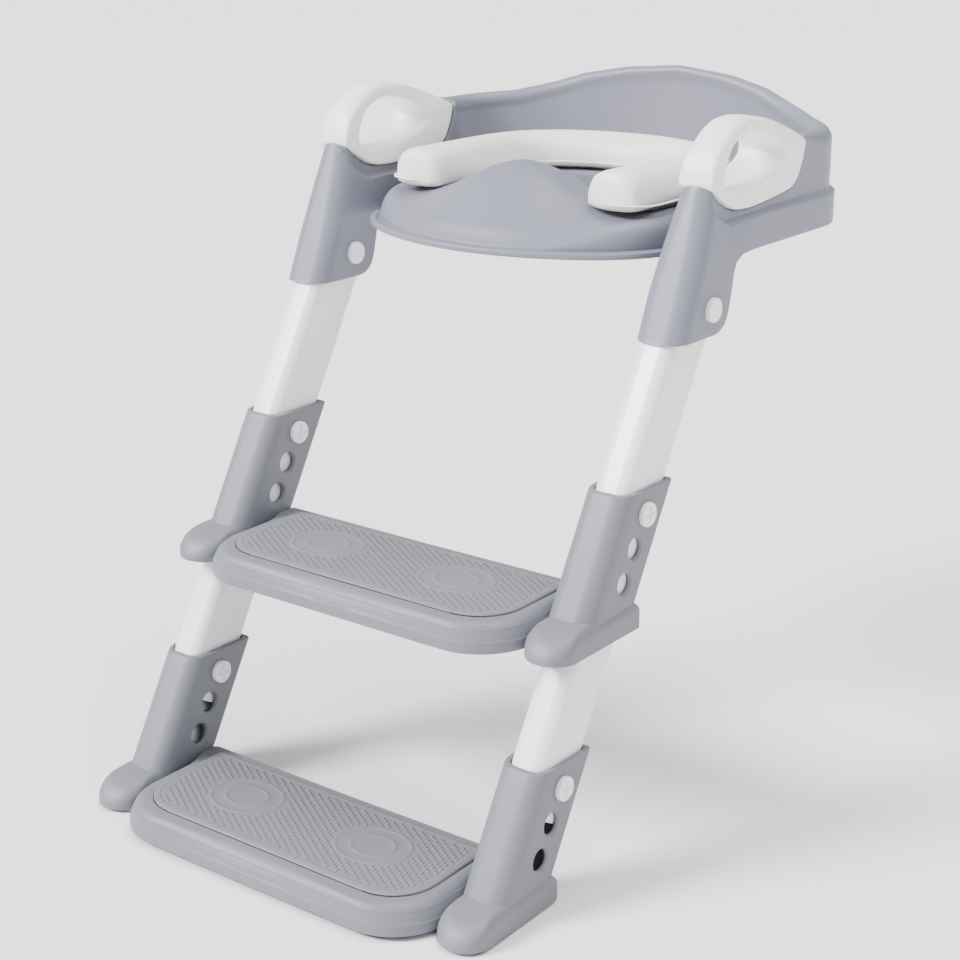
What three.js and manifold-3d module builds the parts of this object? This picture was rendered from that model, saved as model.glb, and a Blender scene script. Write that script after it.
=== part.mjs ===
// A folding toilet-trainer seat with a two-step ladder, for small children.
// Millimetres, +Z up, +X to the child's left-hand armrest, the ladder at the front, towards -Y.
// The seat hangs on the ladder by two hinge pins, and most shapes below are given from that hinge axis.
import * as THREE from "three";
import { mergeVertices } from "three/addons/utils/BufferGeometryUtils.js";
import Module from "manifold-3d";

const wasm = await Module();
wasm.setup();

// ---------- driving dimensions ----------
const LEAN = THREE.MathUtils.degToRad(29.6); // the legs' slope from upright
const MIDDLE_BOLT = 153.5; // along the leg, from the hinge axis
const STEP_SPACING = 200;
const BOTTOM_BOLT = MIDDLE_BOLT + STEP_SPACING;
const HOLE_PITCH = 26; // the three height-setting holes of each bracket
const GAP = 0.3; // between touching pieces
const LEG_PLAY = 0.5; // between the legs and what they slide or turn in
const SHAFT_PLAY = 0.1;
const WALL = 3; // moulded shells

const LEG_X = [150.5, 180.5]; // inner and outer faces, either side of the middle
const LEG_FRONT = -26; // across the leg, from the bolt line
const LEG_REAR = 19;
const LEG_WALL = 2;
const LEG_TOP_RADIUS = 26; // rounded top end, about the hinge axis
const LEG_END = BOTTOM_BOLT + HOLE_PITCH;

const BRACKET_X = [145.5, 184.5];
const BRACKET_FRONT = -30.5;
const BRACKET_REAR = 23;
const BRACKET_TOP = 17.6; // height of the level top edge over the bolt
const HOLE_RADIUS = 7.5;

const BOOT_X = [143.5, 187];
const BOOT_TOP = -62;
const SOLE = -84; // under the bolt
const FOOT_PAD_PROUD = 1.5;

const TREAD_HALF = 146;
const TREAD_TOP = -61;
const TREAD_REAR = -9;
const TREAD_FRONT = -127;
const TREAD_CORNER = 48;
const MAT_HALF = 131;
const MAT_REAR = -16;
const MAT_FRONT = -111;
const MAT_CORNER = 36;
const MAT_THICKNESS = 3.2;
const MAT_SINK = 1.8; // how deep the mat lies in the tread

const SHAFT_RADIUS = 4.5;
const SHAFT_HOLE = SHAFT_RADIUS + SHAFT_PLAY;
const HEAD_RADIUS = 9;
const HEAD_HEIGHT = 4;

const LOBE_X = [147, 187.5];
const ARM_OUTER = 188;
const ARM_INNER = 146;
const ARM_STRAIGHT = 169; // where the straight arms turn into the rounded back
const BACK_OUTER = 95; // depth of the outer rounding
const BACK_INNER = 66;
const SKIRT = 34; // lower edge of the arms
const TOP_CURVE = [
  [0, 137],
  [34, 137],
  [60, 133],
  [95, 126],
  [124, 117],
  [158, 109],
  [190, 105],
]; // distance from the middle, height of the wall's upper edge

const RING_HALF = 145.4;
const RIM_LEVEL = 29; // what the ring's lower edge stands on
const LIP_TOP = 33.5;
const RING_TOP = 56;
const LIP_WIDTH = 8;
const FRONT_RADIUS = 178;
const FRONT_EDGE = -59;
const HOLE_HALF = 72;
const HOLE_MIDDLE = 104;
const HOLE_DEPTH = 64;
const HUMP_TOP = 86;

const CUSHION_HALF = 121;
const CUSHION_LIMB = 47;
const CUSHION_FRONT = 8;
const CUSHION_BACK = 224;
const CUSHION_BACK_LIMB = 54;
const CUSHION_BOTTOM = 60;
const CUSHION_TOP = 84;
const CUSHION_BEVEL = 8;
const PLATE_THICKNESS = 3;
const PEG_RADIUS = 3.5;
const PEG_LENGTH = 9;
const PEG_PLACES = [
  [97, 40],
  [97, 130],
];

const HANDLE_X = [150, 186];
const HANDLE_ROUNDING = 7;

// The hinge axis: its height over the rubber feet, and its place in the middle of the whole depth.
const HINGE_Z = BOTTOM_BOLT * Math.cos(LEAN) - SOLE + FOOT_PAD_PROUD;
const HINGE_Y = (BOTTOM_BOLT * Math.sin(LEAN) - TREAD_FRONT - ARM_STRAIGHT - BACK_OUTER) / 2;

// ---------- materials ----------
const plastic = (color, roughness) => new THREE.MeshStandardMaterial({ color, roughness, metalness: 0 });
const MATERIAL = {
  shell: plastic(0xa9abb8, 0.55),
  step: plastic(0xa4a7b1, 0.6),
  mat: plastic(0x9c9fa6, 0.8),
  white: plastic(0xf1f0ee, 0.4),
  cushion: plastic(0xf2efe6, 0.45),
  plate: plastic(0x4a4a4d, 0.7),
  rubber: plastic(0x6f7177, 0.9),
};

// ---------- solids ----------
function solid(geometry) {
  const bare = geometry.index ? geometry.toNonIndexed() : geometry.clone();
  bare.deleteAttribute("normal");
  bare.deleteAttribute("uv");
  const merged = mergeVertices(bare, 1e-4);
  const mesh = new wasm.Mesh({
    numProp: 3,
    vertProperties: new Float32Array(merged.attributes.position.array),
    triVerts: new Uint32Array(merged.index.array),
  });
  return new wasm.Manifold(mesh);
}

function geometryOf(manifold) {
  const mesh = manifold.getMesh();
  const geometry = new THREE.BufferGeometry();
  geometry.setAttribute("position", new THREE.BufferAttribute(mesh.vertProperties, 3));
  geometry.setIndex(new THREE.BufferAttribute(mesh.triVerts, 1));
  geometry.computeVertexNormals();
  return geometry;
}

const cut = (body, ...tools) => tools.reduce((left, tool) => left.subtract(tool), body);
const join = (body, ...others) => others.reduce((sum, other) => sum.add(other), body);

// A closed outline through points [x, y] or [x, y, fillet radius]; a fillet never passes mid-edge.
function outline(points) {
  const shape = new THREE.Shape();
  const corners = points.map(([x, y, radius]) => ({ at: new THREE.Vector2(x, y), radius: radius ?? 0 }));
  corners.forEach((corner, i) => {
    const back = corners[(i + corners.length - 1) % corners.length].at.clone().sub(corner.at);
    const ahead = corners[(i + 1) % corners.length].at.clone().sub(corner.at);
    const half = Math.abs(back.angleTo(ahead)) / 2;
    const reach = Math.min(corner.radius / Math.tan(half), back.length() * 0.49, ahead.length() * 0.49);
    const start = corner.at.clone().addScaledVector(back.normalize(), reach);
    const end = corner.at.clone().addScaledVector(ahead.normalize(), reach);
    if (i === 0) shape.moveTo(start.x, start.y);
    else shape.lineTo(start.x, start.y);
    if (corner.radius > 0) shape.quadraticCurveTo(corner.at.x, corner.at.y, end.x, end.y);
  });
  shape.closePath();
  return shape;
}

// A shape in plan, from one height to another.
function upright(shape, low, high, options = {}) {
  const settings = { depth: high - low, bevelEnabled: false, curveSegments: 5, ...options };
  return new THREE.ExtrudeGeometry(shape, settings).translate(0, 0, low);
}

// A shape drawn in the side view (y, z), from one x to another.
function sideways(shape, from, to, options = {}) {
  const settings = { depth: to - from, bevelEnabled: false, curveSegments: 5, ...options };
  const turn = new THREE.Matrix4().makeBasis(
    new THREE.Vector3(0, 1, 0),
    new THREE.Vector3(0, 0, 1),
    new THREE.Vector3(1, 0, 0),
  );
  return new THREE.ExtrudeGeometry(shape, settings).applyMatrix4(turn).translate(from, 0, 0);
}

// A shape drawn in the front view (x, z), from one y to another.
function frontways(shape, from, to) {
  const settings = { depth: to - from, bevelEnabled: false, curveSegments: 5 };
  const turned = new THREE.ExtrudeGeometry(shape, settings).rotateX(Math.PI / 2);
  return turned.translate(0, to, 0);
}

// A round bar along X, from one x to the other.
function bar(radius, from, to, y = 0, z = 0, sides = 20) {
  const geometry = new THREE.CylinderGeometry(radius, radius, to - from, sides).rotateZ(Math.PI / 2);
  return geometry.translate((from + to) / 2, y, z);
}

// A turned piece on the X axis; its profile is [distance along X, radius].
function turnedPiece(profile, sides = 20) {
  const points = profile.map(([along, radius]) => new THREE.Vector2(radius, -along));
  return new THREE.LatheGeometry(points, sides).rotateZ(Math.PI / 2);
}

function halfEllipse(halfWidth, depth, middle, steps = 14) {
  return Array.from({ length: steps + 1 }, (_, i) => {
    const angle = (i / steps) * Math.PI;
    return [halfWidth * Math.cos(angle), middle + depth * Math.sin(angle)];
  });
}

const root = new THREE.Group();
const seat = new THREE.Group();
const ladder = new THREE.Group();
seat.position.set(0, HINGE_Y, HINGE_Z);
ladder.position.copy(seat.position);
root.add(seat, ladder);

function place(group, name, geometry, material) {
  const mesh = new THREE.Mesh(geometry, material);
  mesh.name = name;
  group.add(mesh);
  return mesh;
}

const SIDES = [
  ["left", 1],
  ["right", -1],
];
// A piece made for the +X side, or its mirror image for the other side.
function onSide(geometry, sign) {
  if (sign > 0) return geometry;
  return geometryOf(solid(geometry).mirror([1, 0, 0]));
}

// ---------- seat frame: arms, hinge lobes and back wall in one moulding ----------
// The line where each white grip sits in its arm, front to rear, seen from the side.
const GRIP_SEAT = [
  [-8, 82],
  [16, 73],
  [36, 64.5],
  [66, 64.5],
  [112, 69.5],
  [124, 78],
  [131, 100],
];

function gripCutter(shrink) {
  const line = GRIP_SEAT.map(([y, z]) => [y, z - shrink]);
  line[0][0] -= 60;
  line[0][1] += 22;
  line[GRIP_SEAT.length - 1][0] += shrink;
  line[GRIP_SEAT.length - 2][0] += shrink;
  const points = [...line, [131 + shrink, 160], [-80, 160]];
  return solid(sideways(outline(points), ARM_INNER - 10, ARM_OUTER + 10));
}

function backPlan(outerHalf, innerHalf, outerDepth, innerDepth, front) {
  const outer = halfEllipse(outerHalf, outerDepth, ARM_STRAIGHT, 22);
  const inner = halfEllipse(innerHalf, innerDepth, ARM_STRAIGHT, 22).reverse();
  const leftTip = [
    [-outerHalf, front],
    [-innerHalf, front],
  ];
  return outline([[outerHalf, front], ...outer, ...leftTip, ...inner, [innerHalf, front]]);
}

function underTopCurve(drop) {
  const low = -40;
  const half = TOP_CURVE.map(([x, z]) => [x, z - drop]).reverse();
  const line = [...half, ...half.slice(0, -1).reverse().map(([x, z]) => [-x, z])];
  const edge = ARM_OUTER + 8;
  const sides = line[0][1];
  const under = outline([[edge, low], [edge, sides], ...line, [-edge, sides], [-edge, low]]);
  return solid(frontways(under, -80, 300));
}

function seatFrame() {
  const armFront = 30;
  const wall = solid(upright(backPlan(ARM_OUTER, ARM_INNER, BACK_OUTER, BACK_INNER, armFront), SKIRT, 150));
  const hollow = solid(
    upright(
      backPlan(ARM_OUTER - WALL, ARM_INNER + WALL, BACK_OUTER - WALL, BACK_INNER + WALL, armFront - 1),
      SKIRT - 5,
      150,
    ),
  );
  let body = wall.intersect(underTopCurve(0));
  let cavity = hollow.intersect(underTopCurve(WALL + 1));
  const lobe = outline([
    [-45, -19, 4],
    [8, -19, 6],
    [24, -12, 8],
    [31, 18],
    [40, 31],
    [62, SKIRT],
    [62, 102],
    [0, 102],
  ]);
  const lobeCavity = outline([
    [-46, -30],
    [-4.6, 77],
    [62, 98],
    [62, -30],
  ]);
  for (const [, sign] of SIDES) {
    const side = (geometry) => solid(onSide(geometry, sign));
    body = body.add(side(sideways(lobe, LOBE_X[0], LOBE_X[1])));
    cavity = cavity.add(side(sideways(lobeCavity, LEG_X[0] - LEG_PLAY, LEG_X[1] + LEG_PLAY)));
  }
  for (const [, sign] of SIDES) {
    const mirror = (made) => (sign > 0 ? made : made.mirror([1, 0, 0]));
    body = body.subtract(mirror(gripCutter(GAP)));
    cavity = cavity.subtract(mirror(gripCutter(GAP + WALL)));
    const hole = solid(bar(SHAFT_HOLE, LOBE_X[0] - 5, LOBE_X[1] + 5));
    cavity = cavity.add(mirror(hole));
  }
  return geometryOf(body.subtract(cavity));
}
place(seat, "seat_frame", seatFrame(), MATERIAL.shell);

// ---------- seat ring with lip and splash guard ----------
function ringPlan(inset) {
  const half = RING_HALF - inset;
  const radius = FRONT_RADIUS - inset;
  const middle = FRONT_EDGE + FRONT_RADIUS;
  const spread = Math.asin(half / radius);
  const steps = 14;
  const front = Array.from({ length: steps + 1 }, (_, i) => {
    const angle = -spread + (2 * spread * i) / steps;
    return [radius * Math.sin(angle), middle - radius * Math.cos(angle)];
  });
  return outline([...front, ...halfEllipse(half, BACK_INNER - GAP * 2 - inset, ARM_STRAIGHT, 18)]);
}

function holePlan(grow) {
  const shape = new THREE.Shape();
  shape.absellipse(0, HOLE_MIDDLE, HOLE_HALF + grow, HOLE_DEPTH + grow, 0, Math.PI * 2);
  return shape;
}

function seatRing() {
  const round = { curveSegments: 32 };
  const lip = solid(upright(ringPlan(0), RIM_LEVEL, LIP_TOP));
  const body = solid(upright(ringPlan(LIP_WIDTH), RIM_LEVEL, RING_TOP));
  const hump = solid(
    frontways(
      outline([
        [-96, 40],
        [96, 40],
        [92, 55],
        [62, 69],
        [30, 82, 14],
        [0, HUMP_TOP + 3, 22],
        [-30, 82, 14],
        [-62, 69],
        [-92, 55],
      ]),
      -60,
      60,
    ),
  );
  const humpSide = solid(
    sideways(
      outline([
        [-44, 40],
        [36, 40],
        [38, HUMP_TOP - 2, 3],
        [22, HUMP_TOP + 1, 8],
        [-14, 60],
      ]),
      -100,
      100,
    ),
  );
  const opening = solid(upright(holePlan(0), RIM_LEVEL - 5, 120, round));
  const underside = solid(upright(ringPlan(LIP_WIDTH + WALL), RIM_LEVEL - 5, RING_TOP - WALL));
  const holeWall = solid(upright(holePlan(WALL), RIM_LEVEL - 6, RING_TOP, round));
  const pegHoles = PEG_PLACES.flatMap(([x, y]) =>
    [x, -x].map((at) => {
      const hole = new THREE.CylinderGeometry(PEG_RADIUS + LEG_PLAY, PEG_RADIUS + LEG_PLAY, 20, 12);
      return solid(hole.rotateX(Math.PI / 2).translate(at, y, RING_TOP));
    }),
  );
  const cushionRoom = solid(upright(cushionPlan(-1), RING_TOP, HUMP_TOP + 10));
  const guardRoom = solid(upright(ringPlan(LIP_WIDTH), RIM_LEVEL, HUMP_TOP + 10));
  const guard = hump.intersect(humpSide).intersect(guardRoom).subtract(cushionRoom);
  const shell = join(lip, body, guard);
  return geometryOf(cut(shell, opening, underside.subtract(holeWall), ...pegHoles));
}
place(seat, "seat_ring", seatRing(), MATERIAL.shell);

// Rubber pads under the ring, which keep the seat still on the rim.
const RIM_PADS = [
  ["front", 1, 112, 32],
  ["front", -1, 112, 32],
  ["rear", 1, 112, 168],
  ["rear", -1, 112, 168],
];
for (const [where, sign, x, y] of RIM_PADS) {
  const side = sign > 0 ? "left" : "right";
  const pad = outline([
    [-7, -16, 6],
    [7, -16, 6],
    [7, 16, 6],
    [-7, 16, 6],
  ]);
  const bottom = RIM_LEVEL - 1;
  const height = RING_TOP - WALL - GAP - bottom;
  place(seat, `rim_pad_${where}_${side}`, upright(pad, 0, height), MATERIAL.rubber).position.set(sign * x, y, bottom);
}

// ---------- grips ----------
function grip() {
  const shape = outline([
    [-16, 70],
    [-16, 92, 12],
    [0, 122, 26],
    [48, 137, 30],
    [110, 120, 20],
    [158, 99, 14],
    [140, 60],
  ]);
  const loop = outline([
    [16, 81, 8],
    [84, 88, 6],
    [93, 103, 8],
    [60, 119, 18],
    [30, 111, 12],
  ]);
  const rounding = {
    bevelEnabled: true,
    bevelSize: HANDLE_ROUNDING,
    bevelThickness: HANDLE_ROUNDING,
    bevelOffset: -HANDLE_ROUNDING,
    bevelSegments: 2,
    curveSegments: 4,
  };
  const [inner, outer] = HANDLE_X;
  const full = solid(sideways(shape, inner + HANDLE_ROUNDING, outer - HANDLE_ROUNDING, rounding));
  const hole = solid(sideways(loop, inner - 5, outer + 5));
  return geometryOf(cut(full, hole).intersect(gripCutter(0)));
}
for (const [side, sign] of SIDES) {
  place(seat, `grip_${side}`, onSide(grip(), sign), MATERIAL.white);
}

// ---------- cushion ----------
function cushionPlan(inset) {
  const outer = CUSHION_HALF - inset;
  const inner = CUSHION_HALF - CUSHION_LIMB + inset;
  const front = CUSHION_FRONT + inset;
  const turn = 118;
  const outerDepth = CUSHION_BACK - turn - inset;
  const innerDepth = CUSHION_BACK - CUSHION_BACK_LIMB - turn + inset;
  const rounding = (outer - inner) / 3;
  return outline([
    [outer, front, rounding],
    ...halfEllipse(outer, outerDepth, turn, 16),
    [-outer, front, rounding],
    [-inner, front, rounding],
    ...halfEllipse(inner, innerDepth, turn, 16).reverse(),
    [inner, front, rounding],
  ]);
}

const softEdge = {
  bevelEnabled: true,
  bevelSize: CUSHION_BEVEL,
  bevelThickness: CUSHION_BEVEL,
  bevelOffset: -CUSHION_BEVEL,
  bevelSegments: 2,
};
const cushion = upright(cushionPlan(0), CUSHION_BOTTOM + CUSHION_BEVEL, CUSHION_TOP - CUSHION_BEVEL, softEdge);
place(seat, "cushion", cushion, MATERIAL.cushion);

function cushionPlate() {
  const top = CUSHION_BOTTOM - GAP;
  const plate = solid(upright(cushionPlan(9), top - PLATE_THICKNESS, top));
  const pegs = PEG_PLACES.flatMap(([x, y]) =>
    [x, -x].map((at) => {
      const peg = new THREE.CylinderGeometry(PEG_RADIUS, PEG_RADIUS, PEG_LENGTH, 12).rotateX(Math.PI / 2);
      return solid(peg.translate(at, y, top - PLATE_THICKNESS - PEG_LENGTH / 2 + 1));
    }),
  );
  return geometryOf(join(plate, ...pegs));
}
place(seat, "cushion_plate", cushionPlate(), MATERIAL.plate);

// ---------- fasteners ----------
// A screw with a domed head outside and a matching cap inside; both stand on flat plastic faces.
function screw(inner, outer, slotted) {
  const head = [
    [outer + HEAD_HEIGHT + GAP, 0],
    [outer + HEAD_HEIGHT + GAP, HEAD_RADIUS - 3],
    [outer + HEAD_HEIGHT * 0.6 + GAP, HEAD_RADIUS],
    [outer + GAP, HEAD_RADIUS],
    [outer + GAP, SHAFT_RADIUS],
    [inner - 1, SHAFT_RADIUS],
    [inner - 1, 0],
  ];
  const made = solid(turnedPiece(head));
  return geometryOf(slotted ? cut(made, ...crossSlot(outer + HEAD_HEIGHT + GAP)) : made);
}

function cap(inner, slotted) {
  const profile = [
    [inner - HEAD_HEIGHT - GAP, 0],
    [inner - HEAD_HEIGHT - GAP, HEAD_RADIUS - 3],
    [inner - HEAD_HEIGHT * 0.6 - GAP, HEAD_RADIUS],
    [inner - GAP, HEAD_RADIUS],
    [inner - GAP, SHAFT_RADIUS + GAP],
    [inner - 1 - GAP, SHAFT_RADIUS + GAP],
    [inner - 1 - GAP, 0],
  ];
  const made = solid(turnedPiece(profile.reverse()));
  return geometryOf(slotted ? cut(made, ...crossSlot(inner - HEAD_HEIGHT - GAP)) : made);
}

function crossSlot(face) {
  const long = HEAD_RADIUS * 1.1;
  const depth = 1.6;
  return [
    solid(new THREE.BoxGeometry(depth, long, 1.6).translate(face, 0, 0)),
    solid(new THREE.BoxGeometry(depth, 1.6, long).translate(face, 0, 0)),
  ];
}

for (const [side, sign] of SIDES) {
  place(seat, `hinge_pin_${side}`, onSide(screw(LOBE_X[0], LOBE_X[1], false), sign), MATERIAL.white);
  place(seat, `hinge_cap_${side}`, onSide(cap(LOBE_X[0], false), sign), MATERIAL.white);
}

// ---------- legs ----------
// Each leg is a tube drawn in plan across its length; the ladder group leans it.
function legSection(inset, rounding) {
  const [inner, outer] = LEG_X;
  return outline([
    [inner + inset, LEG_FRONT + inset, rounding],
    [outer - inset, LEG_FRONT + inset, rounding],
    [outer - inset, LEG_REAR - inset, 4],
    [inner + inset, LEG_REAR - inset, 4],
  ]);
}

function leg() {
  const tube = solid(upright(legSection(0, 10), -LEG_END, LEG_TOP_RADIUS));
  const bore = solid(upright(legSection(LEG_WALL, 8), -LEG_END - 5, -LEG_TOP_RADIUS));
  const topEnd = join(
    solid(bar(LEG_TOP_RADIUS, LEG_X[0] - 1, LEG_X[1] + 1, 0, 0, 32)),
    solid(upright(outline([[100, -60], [230, -60], [230, 60], [100, 60]]), -LEG_END - 10, 0)),
  );
  const holes = [0, -MIDDLE_BOLT, -BOTTOM_BOLT].map((z) => solid(bar(SHAFT_HOLE, LEG_X[0] - 5, LEG_X[1] + 5, 0, z)));
  return geometryOf(cut(tube.intersect(topEnd), bore, ...holes));
}

const rails = new THREE.Group();
rails.rotation.x = -LEAN;
ladder.add(rails);
for (const [side, sign] of SIDES) {
  place(rails, `leg_${side}`, onSide(leg(), sign), MATERIAL.white);
}

// ---------- steps ----------
// Level pieces, drawn from their own bolt axis. Along the leg is turned by the lean.
const leaned = (geometry) => geometry.rotateX(-LEAN);

function bracketSection(inset, rounding) {
  const [inner, outer] = BRACKET_X;
  return outline([
    [inner + inset, BRACKET_FRONT + inset, rounding],
    [outer - inset, BRACKET_FRONT + inset, rounding],
    [outer - inset, BRACKET_REAR - inset, 3],
    [inner + inset, BRACKET_REAR - inset, 3],
  ]);
}

function legChannel() {
  const [inner, outer] = LEG_X;
  const section = outline([
    [inner - LEG_PLAY, LEG_FRONT - LEG_PLAY, 9],
    [outer + LEG_PLAY, LEG_FRONT - LEG_PLAY, 9],
    [outer + LEG_PLAY, LEG_REAR + LEG_PLAY, 3],
    [inner - LEG_PLAY, LEG_REAR + LEG_PLAY, 3],
  ]);
  return solid(leaned(upright(section, -180, 80)));
}

const BOOT_SIDE = [
  [-6, BOOT_TOP - 1],
  [-6, SOLE + 1, 3],
  [-70, SOLE],
  [-104, SOLE + 1, 10],
  [-121, SOLE + 2, 7],
  [-110, -68, 14],
  [-88, BOOT_TOP, 12],
  [-66, BOOT_TOP + 1],
];

function treadPlan(inset) {
  const half = TREAD_HALF - inset;
  const front = TREAD_FRONT + inset;
  return outline([
    [half, TREAD_REAR - inset],
    [-half, TREAD_REAR - inset],
    [-half, front, TREAD_CORNER - inset],
    [half, front, TREAD_CORNER - inset],
  ]);
}

function matPlan(grow) {
  return outline([
    [MAT_HALF + grow, MAT_REAR + grow, 6],
    [-MAT_HALF - grow, MAT_REAR + grow, 6],
    [-MAT_HALF - grow, MAT_FRONT - grow, MAT_CORNER],
    [MAT_HALF + grow, MAT_FRONT - grow, MAT_CORNER],
  ]);
}

function stepMoulding() {
  const edge = {
    bevelEnabled: true,
    bevelSize: 6,
    bevelThickness: 6,
    bevelOffset: -6,
    bevelSegments: 2,
    curveSegments: 6,
  };
  const tread = solid(upright(treadPlan(0), SOLE - 6, TREAD_TOP - 6, edge));
  const treadBottom = solid(new THREE.BoxGeometry(400, 400, 60).translate(0, 0, SOLE + 2 - 30));
  const under = solid(upright(treadPlan(WALL), SOLE - 20, TREAD_TOP - MAT_SINK - WALL, { curveSegments: 6 }));
  const ribs = [-70, 0, 70].map((x) => solid(new THREE.BoxGeometry(WALL, 112, 22).translate(x, -68, TREAD_TOP - 13)));
  const recess = solid(upright(matPlan(GAP), TREAD_TOP - MAT_SINK, 0));
  let body = cut(tread, treadBottom, cut(under, ...ribs), recess);
  const level = (low, high) => solid(new THREE.BoxGeometry(120, 300, high - low).translate(165, 0, (low + high) / 2));
  for (const [, sign] of SIDES) {
    const mirror = (made) => (sign > 0 ? made : made.mirror([1, 0, 0]));
    const sleeve = solid(leaned(upright(bracketSection(0, 13), -120, 80)));
    const bracket = sleeve.intersect(level(SOLE + 4, BRACKET_TOP));
    const boot = solid(sideways(outline(BOOT_SIDE), BOOT_X[0], BOOT_X[1], { curveSegments: 4 }));
    body = join(body, mirror(bracket), mirror(boot));
  }
  for (const [, sign] of SIDES) {
    const mirror = (made) => (sign > 0 ? made : made.mirror([1, 0, 0]));
    body = body.subtract(mirror(legChannel()));
    const reach = [BRACKET_X[0] - 8, BRACKET_X[1] + 8];
    const holes = [0, 1, 2].map((i) => {
      const radius = i === 0 ? SHAFT_HOLE : HOLE_RADIUS;
      return solid(leaned(bar(radius, reach[0], reach[1], 0, -i * HOLE_PITCH)));
    });
    body = cut(body, ...holes.map(mirror));
  }
  return body;
}

// A rubber foot under each bottom boot closes the leg channel from below.
function footPad() {
  const pad = outline([
    [BOOT_X[0] + 3, -12, 4],
    [BOOT_X[0] + 3, -100, 10],
    [BOOT_X[1] - 3, -100, 10],
    [BOOT_X[1] - 3, -12, 4],
  ]);
  return upright(pad, SOLE - FOOT_PAD_PROUD, SOLE + 2 - GAP);
}

const stepBody = stepMoulding();
const padRoom = solid(upright(outline([[100, -11], [100, -101.5], [230, -101.5], [230, -11]]), SOLE - 10, SOLE + 2));
const padPocket = padRoom.intersect(
  solid(
    upright(
      outline([
        [BOOT_X[0] + 3 - GAP, -12 + GAP, 4],
        [BOOT_X[0] + 3 - GAP, -100 - GAP, 10],
        [BOOT_X[1] - 3 + GAP, -100 - GAP, 10],
        [BOOT_X[1] - 3 + GAP, -12 + GAP, 4],
      ]),
      SOLE - 10,
      SOLE + 2,
    ),
  ),
);

const STEPS = [
  ["middle", MIDDLE_BOLT, stepBody],
  ["bottom", BOTTOM_BOLT, cut(stepBody, padPocket, padPocket.mirror([1, 0, 0]))],
];

for (const [where, along, body] of STEPS) {
  const step = new THREE.Group();
  step.position.set(0, -along * Math.sin(LEAN), -along * Math.cos(LEAN));
  ladder.add(step);
  place(step, `${where}_step`, geometryOf(body), MATERIAL.step);
  const matBottom = TREAD_TOP - MAT_SINK + GAP;
  place(step, `${where}_step_mat`, upright(matPlan(0), matBottom, matBottom + MAT_THICKNESS), MATERIAL.mat);
  for (const [side, sign] of SIDES) {
    place(step, `${where}_bolt_${side}`, onSide(screw(BRACKET_X[0], BRACKET_X[1], true), sign), MATERIAL.white);
    place(step, `${where}_nut_${side}`, onSide(cap(BRACKET_X[0], true), sign), MATERIAL.white);
    if (where === "bottom") place(step, `foot_pad_${side}`, onSide(footPad(), sign), MATERIAL.rubber);
  }
}

export default root;
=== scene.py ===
import math

import bmesh
import bpy
import numpy as np
from bpy.props import FloatProperty, FloatVectorProperty, PointerProperty
from bpy.types import Operator, Panel, PropertyGroup
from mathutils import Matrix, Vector


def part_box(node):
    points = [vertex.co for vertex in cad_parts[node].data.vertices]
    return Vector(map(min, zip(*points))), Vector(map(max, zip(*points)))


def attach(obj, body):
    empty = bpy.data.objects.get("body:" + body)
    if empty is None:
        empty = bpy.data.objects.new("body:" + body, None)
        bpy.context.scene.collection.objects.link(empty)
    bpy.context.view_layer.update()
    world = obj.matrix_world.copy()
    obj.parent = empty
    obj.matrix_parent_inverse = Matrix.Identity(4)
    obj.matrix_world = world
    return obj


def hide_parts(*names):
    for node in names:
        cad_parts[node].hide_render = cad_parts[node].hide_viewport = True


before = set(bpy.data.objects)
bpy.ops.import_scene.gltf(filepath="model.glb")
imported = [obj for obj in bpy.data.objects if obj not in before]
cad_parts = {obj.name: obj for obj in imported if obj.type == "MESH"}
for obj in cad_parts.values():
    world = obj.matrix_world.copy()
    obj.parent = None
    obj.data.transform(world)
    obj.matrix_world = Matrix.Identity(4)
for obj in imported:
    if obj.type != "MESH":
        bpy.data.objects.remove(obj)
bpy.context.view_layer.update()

bl_info = {
    "name": "Toilet Trainer Seat and Ladder",
    "version": (1, 0, 0),
    "blender": (4, 5, 0),
    "location": "3D View > Sidebar > Trainer Seat",
    "description": "Dresses the trainer seat, its folding ladder and its padded cushion",
    "category": "Object",
}

MM = 0.001


def middle(node):
    """The centre of a node's box, in millimetres: the mean of its two corners."""
    low, high = (np.array(corner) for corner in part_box(node))
    return (low + high) / 2 / MM


HINGE = middle("hinge_pin_left") * [0, 1, 1]
MIDDLE_STEP = middle("middle_bolt_left") * [0, 1, 1] - HINGE
BOTTOM_STEP = middle("bottom_bolt_left") * [0, 1, 1] - HINGE
LEAN = math.atan2(-BOTTOM_STEP[1], -BOTTOM_STEP[2])
SIDES = {"left": 1, "right": -1}


# ---------------------------------------------------------------- curves and surfaces


def smoothstep(t):
    """The S-curve 3t^2 - 2t^3 of t held between 0 and 1."""
    t = np.clip(t, 0, 1)
    return t * t * (3 - 2 * t)


def quarter(distance, radius):
    """How far a rounded edge has drawn back at a distance d from its end: r - sqrt(r^2 - (r - d)^2)."""
    radius = np.maximum(radius, 1e-6)
    left = np.clip(1 - distance / radius, 0, 1)
    return radius * (1 - np.sqrt(1 - left * left))


def eased(points, times=3, closed=True):
    """Corner cutting: every edge keeps its points at a quarter and three quarters, several times over."""
    line = np.asarray(points, float)
    for _ in range(times):
        after = np.roll(line, -1, axis=0) if closed else line[1:]
        here = line if closed else line[:-1]
        cut = np.stack([here * 0.75 + after * 0.25, here * 0.25 + after * 0.75], axis=1)
        cut = cut.reshape(-1, line.shape[1])
        line = cut if closed else np.vstack([line[:1], cut, line[-1:]])
    return line


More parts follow.
